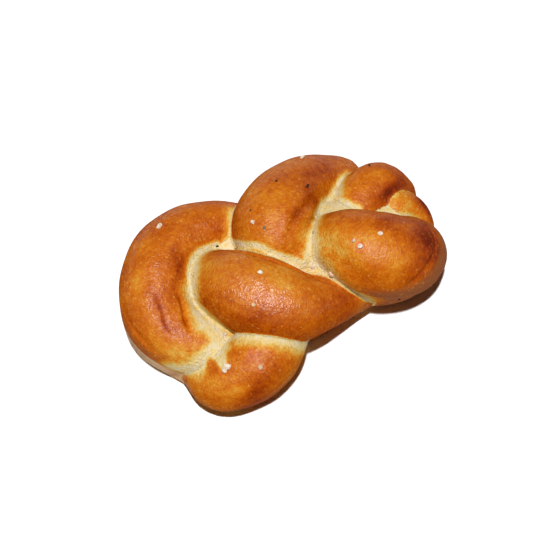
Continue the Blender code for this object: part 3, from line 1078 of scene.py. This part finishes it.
    def browning(
        self, graph: Graph, effects: Effects, place: object, flow: object, cover: object
    ) -> Socket:
        """The crust's colour, with mottling and streaks along the strands.

        Args:
            graph: The material's graph.
            effects: The shared node groups.
            place: The place on the piece, in mm.
            flow: The place along and around the strand, in mm.
            cover: How fully the crust covers the dough.

        Returns:
            The colour.
        """
        mottle = graph.group(effects.mottle, Place=place, Strength=self.mottle)
        bake = graph.plus(graph.attribute("bake"), mottle.outputs["Value"])
        for scale, strength in self.streaks:
            bake = graph.plus(bake, graph.uneven(graph.stretched(flow, scale), 1.0, 3.0, strength))
        bake = graph.plus(bake, graph.uneven(place, 1.1, 3.0, self.speckle))
        tone = graph.times(bake, graph.math("POWER", cover, 0.85))
        blotches = graph.span(graph.noise(place, 0.45, 4.0), 0.38, 0.66, (0.0, 0.12))
        tone = graph.math("MAXIMUM", tone, blotches)
        shades = graph.add("ShaderNodeValToRGB", Fac=tone)
        elements = shades.color_ramp.elements
        while len(elements) < len(self.tones):
            elements.new(1.0)
        for element, (position, colour) in zip(elements, self.tones):
            element.position = position
            element.color = colour
        return shades.outputs["Color"]

    def add_bump(
        self, graph: Graph, place: object, flow: object, dots: tuple[Node, ...],
        bare: object, shader: Node,
    ) -> None:
        """Add the skin's fine relief: wrinkles, blisters and the seams' open pores.

        Args:
            graph: The material's graph.
            place: The place on the piece, in mm.
            flow: The place along and around the strand, in mm.
            dots: The blisters, flecks and pores.
            bare: The share of bare dough.
            shader: The material's shader.
        """
        blisters, flecks, pores = (node.outputs["Height"] for node in dots)
        drawn = graph.stretched(flow, (1.4, 0.5, 1.0))
        height = graph.plus(
            graph.times(graph.noise(drawn, 1.0, 3.0), 0.36),
            graph.times(graph.noise(place, 1.3, 4.0), 0.75),
            graph.times(blisters, 0.06), graph.times(flecks, 0.03), graph.times(pores, bare, -0.16),
        )
        graph.bump(height, shader.inputs["Normal"], Strength=0.9)
        ripples = graph.times(graph.noise(drawn, 1.0, 2.0), 0.25)
        grain = graph.times(graph.noise(place, 1.0, 2.0), 0.35)
        graph.bump(graph.plus(ripples, grain), shader.inputs["Coat Normal"])


@dataclass(frozen=True)
class SugarFinish:
    """Coarse white sugar, a little see-through at its edges, and tan where it melted."""

    colour: Colour = rgba(0.82, 0.72, 0.58)
    syrup: Colour = rgba(0.66, 0.42, 0.22)
    melted: Colour = rgba(0.60, 0.36, 0.16)

    def build(self, effects: Effects) -> Material:
        """Make the material.

        Args:
            effects: The shared node groups.

        Returns:
            The sugar's material.
        """
        material, graph, shader = new_material("sugar")
        place = graph.in_mm()
        stained = graph.span(graph.noise(place, 1.1, 2.0), 0.42, 0.7, (0.0, 0.8))
        colour = graph.mix(stained, self.colour, self.syrup)
        mottle = graph.group(effects.mottle, Place=place, Strength=0.3)
        graph.fill(
            shader, Base_Color=graph.mix(graph.attribute("faded"), colour, self.melted),
            Roughness=graph.math("ADD", 0.35, mottle.outputs["Value"], clamp=True),
            Subsurface_Weight=0.25, Subsurface_Radius=(0.001, 0.0009, 0.0007),
        )
        graph.bump(graph.times(graph.noise(place, 2.0, 2.0), 0.5), shader.inputs["Normal"])
        return material


@dataclass(frozen=True)
class CrumbFinish:
    """Dark baked crumbs, almost black."""

    colour: Colour = rgba(0.035, 0.020, 0.012)
    worn: Colour = rgba(0.12, 0.07, 0.035)
    floury: Colour = rgba(0.42, 0.36, 0.20)

    def build(self, effects: Effects) -> Material:
        """Make the material.

        Args:
            effects: The shared node groups.

        Returns:
            The crumbs' material.
        """
        material, graph, shader = new_material("crumb")
        place = graph.in_mm()
        mottle = graph.group(effects.mottle, Place=place, Strength=2.0)
        colour = graph.mix(mottle.outputs["Value"], self.colour, self.worn)
        colour = graph.mix(graph.attribute("faded"), colour, self.floury)
        graph.fill(shader, Base_Color=colour, Roughness=0.75, Specular_IOR_Level=0.15)
        graph.bump(graph.times(graph.noise(place, 2.5, 2.0), 0.2), shader.inputs["Normal"])
        return material


@dataclass
class Crust:
    """The bun itself: the plait melted into one skin, with its relief and its browning."""

    strands: StrandBuilder = field(default_factory=StrandBuilder)
    relief: Relief = field(default_factory=Relief)
    cell_mm: float = 0.58
    softening: int = 20
    dull_folds: float = 6.0
    sole_fill: tuple[float, ...] = (-4, 0, 1, 108, 56, 16)
    marks: tuple[RingMark, ...] = (
        RingMark(22.5, -18.5, 1.75, 0.55, rgba(0.62, 0.10, 0.03), 0.75),
        RingMark(21.5, -15, 1.35, 0.45, rgba(0.62, 0.10, 0.03), 0.45),
        RingMark(-32, -37, 1.7, 0.6, rgba(0.62, 0.17, 0.04), 0.55),
        RingMark(-32.5, -31.5, 1.6, 0.75, rgba(0.60, 0.14, 0.03), 0.75),
    )

    def build(self) -> Object:
        """Model the bun's skin and store its browning on its points.

        Returns:
            The crust.
        """
        bm = bmesh.new()
        feet = [smooth_route(stations, self.strands.step_mm) for stations in FOOT]
        for route in [*(route for lobe in Lobe for route in self.strands.levels(lobe)), *feet]:
            self.strands.add_tube(bm, route)
        x, y, z, length, width, height = (value * MM for value in self.sole_fill)
        size = Matrix.Diagonal((length / 2, width / 2, height / 2, 1.0))
        bmesh.ops.create_uvsphere(
            bm, u_segments=48, v_segments=24, radius=1.0, matrix=Matrix.Translation((x, y, z)) @ size
        )
        bmesh.ops.recalc_face_normals(bm, faces=bm.faces)
        obj = link("crust", bm)
        self.melt(obj)
        self.shape(obj)
        self.cut_sole(obj)
        self.store(obj)
        return obj

    def melt(self, obj: Object) -> None:
        """Melt the strands into one skin and soften the seams.

        Args:
            obj: The strands.
        """
        skin = obj.modifiers.new("skin", "REMESH")
        skin.mode = "VOXEL"
        skin.voxel_size = self.cell_mm * MM
        soft = obj.modifiers.new("soften", "SMOOTH")
        soft.factor = 0.5
        soft.iterations = self.softening
        apply_modifiers(obj)

    def shape(self, obj: Object) -> None:
        """Press the folds into the crust and make it gently uneven.

        Args:
            obj: The crust.
        """
        mesh = obj.data
        places = vertex_array(mesh, "co") / MM
        normals = vertex_array(mesh, "normal")
        moves, _ = self.relief.press(places, normals, skin_of(obj))
        moves = moves + self.relief.lumps(places)
        places += normals * moves[:, None]
        mesh.vertices.foreach_set("co", (places * MM).astype(np.float32).ravel())
        mesh.update()

    def cut_sole(self, obj: Object) -> None:
        """Cut the bun flat where it rests on the tray.

        Args:
            obj: The crust.
        """
        bm = bmesh.new()
        bm.from_mesh(obj.data)
        everything = list(bm.verts) + list(bm.edges) + list(bm.faces)
        cut = bmesh.ops.bisect_plane(
            bm, geom=everything, dist=1e-7, plane_co=(0, 0, 0), plane_no=(0, 0, 1), clear_inner=True
        )["geom_cut"]
        rim = [item for item in cut if isinstance(item, bmesh.types.BMEdge)]
        bmesh.ops.triangle_fill(bm, edges=rim, use_dissolve=False, normal=(0, 0, -1))
        bmesh.ops.dissolve_degenerate(bm, edges=bm.edges, dist=1e-7)
        bm.to_mesh(obj.data)
        bm.free()

    def store(self, obj: Object) -> None:
        """Store the browning, the seams and the strands' directions on the mesh.

        Args:
            obj: The crust.
        """
        mesh = obj.data
        places, normals = vertex_array(mesh, "co") / MM, vertex_array(mesh, "normal")
        skin = skin_of(obj)
        values = BakeMap(self.strands).values(places, normals, skin)
        # The folds' darkening, painted crease shade and partly darker crust, goes into the bake and dulls
        # the glaze.
        dark = self.relief.press(places, normals, skin)[1]
        values["bake"] = values["bake"] + dark
        values["glaze"] = values["glaze"] * np.clip(1 - self.dull_folds * dark, 0, 1)
        for name, column in values.items():
            kind, key = ("FLOAT_VECTOR", "vector") if column.ndim == 2 else ("FLOAT", "value")
            layer = mesh.attributes.new(name, kind, "POINT")
            layer.data.foreach_set(key, column.astype(np.float32).ravel())
        mesh.shade_smooth()

    def dress(self, obj: Object, effects: Effects, shift: Vector) -> None:
        """Give the bun its material, with the ring marks moved by the same shift as the bun.

        Args:
            obj: The crust.
            effects: The shared node groups.
            shift: The pieces' move, in metres.
        """
        skin = skin_of(obj)
        rings = [(mark, drop(skin, mark.x + shift.x / MM, mark.y + shift.y / MM)) for mark in self.marks]
        obj.data.materials.clear()
        obj.data.materials.append(CrustFinish().build(effects, rings))


@dataclass
class Toppings:
    """Small lumps half sunk in the crust."""

    name: str
    lumps: list[tuple[float, ...]]
    sunk: float
    seed: int
    chips: int = 5
    chip_level: Point = (0.26, 0.36)
    stretch: Point = (0.95, 1.25)
    height: float = 0.9
    lift: float = 0.4
    fade_sinks: float = 0.22

    def build(self, skin: BVHTree) -> Object:
        """Model every lump as a chipped block and set it on the crust.

        Args:
            skin: The crust.

        Returns:
            The lumps, as one object.
        """
        rng = random.Random(self.seed)
        bm = bmesh.new()
        faded = bm.verts.layers.float.new("faded")
        for *place, width, share in self.lumps:
            spot, normal = skin.find_nearest(Vector(place) * MM)[:2]
            foot = spot - normal * (self.sunk + self.fade_sinks * share) * width * MM
            for vert in self.add_lump(bm, foot, normal, width * MM, rng):
                vert[faded] = share
        bmesh.ops.recalc_face_normals(bm, faces=bm.faces)
        obj = link(self.name, bm)
        obj.data.shade_smooth()
        return obj

    def add_lump(
        self, bm: bmesh.types.BMesh, spot: Vector, normal: Vector, width: float, rng: random.Random
    ) -> list[bmesh.types.BMVert]:
        """Add one lump: a ball with flats cut on it, rounded again.

        Args:
            bm: The mesh that the lump is added to.
            spot: The place that it stands on.
            normal: The crust's normal there.
            width: The lump's width, in metres.
            rng: The source of its unevenness.

        Returns:
            The lump's points.
        """
        made = bmesh.ops.create_icosphere(bm, subdivisions=3, radius=0.5)["verts"]
        for _ in range(self.chips):
            way = Vector((rng.gauss(0, 1), rng.gauss(0, 1), rng.gauss(0, 1))).normalized()
            level = rng.uniform(*self.chip_level)
            for vert in made:
                over = vert.co.dot(way) - level
                if over > 0:
                    vert.co -= way * over
        bmesh.ops.smooth_vert(bm, verts=made, factor=0.4, use_axis_x=True, use_axis_y=True, use_axis_z=True)
        stretch = [width * rng.uniform(*self.stretch) for _ in range(2)]
        size = Matrix.Diagonal((*stretch, width * self.height, 1.0))
        spin = Matrix.Rotation(rng.uniform(0, math.tau), 4, "Z")
        upright = normal.to_track_quat("Z", "Y").to_matrix().to_4x4()
        middle = Matrix.Translation(spot + normal * width * self.lift)
        bmesh.ops.transform(bm, matrix=middle @ upright @ spin @ size, verts=made)
        return made


@dataclass(frozen=True)
class Lamp:
    """A soft square lamp: where it stands as the camera sees it, its size in metres, its watts."""

    name: str
    up_deg: float
    left_deg: float
    distance: float
    size: float
    power: float


@dataclass
class Studio:
    """Pale floor, soft lights and the camera at the photograph's viewing angle."""

    azimuth_deg: float = -30.0
    elevation_deg: float = 64.0
    lens_mm: float = 80.0
    distance: float = 0.4933
    target: Triple = (-0.0046, -0.0024, 0.015)
    lamps: tuple[Lamp, ...] = (Lamp("key", 17, 1, 1.2, 0.05, 18.5),)
    sky_strength: float = 0.008

    def axes(self) -> tuple[Vector, Vector, Vector]:
        """Work out the camera's own directions.

        Returns:
            Right, up and back.
        """
        a, e = math.radians(self.azimuth_deg), math.radians(self.elevation_deg)
        back = Vector((math.sin(a) * math.cos(e), -math.cos(a) * math.cos(e), math.sin(e)))
        right = Vector((math.cos(a), math.sin(a), 0.0))
        return right, back.cross(right), back

    def build(self, shift: Vector) -> None:
        """Add the floor, the lights and the camera.

        Args:
            shift: The pieces' move, in metres.
        """
        target = Vector(self.target) + shift
        self.add_floor()
        self.add_camera(target)
        for lamp in self.lamps:
            self.add_lamp(target, lamp)
        world = bpy.data.worlds.new("studio")
        bpy.context.scene.world = world
        world.use_nodes = True
        sky = world.node_tree.nodes["Background"]
        Graph(world.node_tree).fill(sky, Color=rgba(1.0, 0.99, 0.97), Strength=self.sky_strength)

    def add_floor(self) -> None:
        """Lay a wide pale floor just under the bun."""
        bm = bmesh.new()
        bmesh.ops.create_grid(bm, x_segments=1, y_segments=1, size=3.0)
        floor = link("floor", bm)
        material, graph, shader = new_material("floor")
        graph.fill(shader, Base_Color=rgba(0.93, 0.93, 0.93), Roughness=0.9)
        floor.data.materials.append(material)

    def add_camera(self, target: Vector) -> None:
        """Set the camera at the photograph's viewing angle.

        Args:
            target: The point in the picture's middle.
        """
        data = bpy.data.cameras.new("camera")
        data.lens = self.lens_mm
        data.sensor_width = 36.0
        data.clip_start = 0.01
        bpy.context.scene.camera = self.aim(data, target, self.axes()[2], self.distance)

    def add_lamp(self, target: Vector, lamp: Lamp) -> None:
        """Add an area lamp that points at the bun.

        Args:
            target: The point in the picture's middle.
            lamp: The lamp.
        """
        data = bpy.data.lights.new(lamp.name, "AREA")
        data.shape = "SQUARE"
        data.size = lamp.size
        data.energy = lamp.power
        right, up, back = self.axes()
        lift, aside = math.tan(math.radians(lamp.up_deg)), math.tan(math.radians(lamp.left_deg))
        self.aim(data, target, (back + up * lift - right * aside).normalized(), lamp.distance)

    def aim(self, data: bpy.types.ID, target: Vector, way: Vector, distance: float) -> Object:
        """Link a camera or a lamp that looks back along a way at the target.

        Args:
            data: The camera's or the lamp's data.
            target: The point in the picture's middle.
            way: The direction from the target to it.
            distance: How far off it stands, in metres.

        Returns:
            The new object.
        """
        obj = bpy.data.objects.new(data.name, data)
        obj.location = target + way * distance
        obj.rotation_mode = "QUATERNION"
        obj.rotation_quaternion = (-way).to_track_quat("-Z", "Y")
        bpy.context.scene.collection.objects.link(obj)
        return obj


def centre(pieces: list[Object], shown: Object) -> Vector:
    """Move the pieces so that the crust's box has its middle over the frame's.

    Args:
        pieces: Every piece.
        shown: The crust.

    Returns:
        The move, in metres.
    """
    places = vertex_array(shown.data, "co")
    middle = (places.min(axis=0) + places.max(axis=0)) / 2
    aim = (CAD_BOX[0] + CAD_BOX[1]) / 2
    shift = Vector((aim.x - middle[0], aim.y - middle[1], 0.0))
    for piece in pieces:
        piece.data.transform(Matrix.Translation(shift))
    return shift


def main() -> None:
    """Build the bun's pieces in order, dress them and set up the studio."""
    logging.basicConfig(level=logging.INFO, format="%(name)s: %(message)s")
    bpy.context.scene.view_settings.view_transform = "Standard"
    effects = Effects()
    crust = Crust()
    bun = crust.build()
    skin = skin_of(bun)
    grains = Toppings("sugar_grains", GRAINS, sunk=0.2, seed=7).build(skin)
    crumbs = Toppings("dark_crumbs", CRUMBS, sunk=0.25, seed=8).build(skin)
    shift = centre([bun, grains, crumbs], bun)
    crust.dress(bun, effects, shift)
    grains.data.materials.append(SugarFinish().build(effects))
    crumbs.data.materials.append(CrumbFinish().build(effects))
    for piece, slot in ((bun, "crust"), (grains, "sugar"), (crumbs, "crumb")):
        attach(piece, "root")
        log.info("%s: %d faces", piece.name, len(piece.data.polygons))
    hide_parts("bun")
    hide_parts("bun")
    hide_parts("bun")
    log.info("shift %.2f, %.2f mm", shift.x / MM, shift.y / MM)
    Studio().build(shift)


if __name__ == "__main__":
    main()
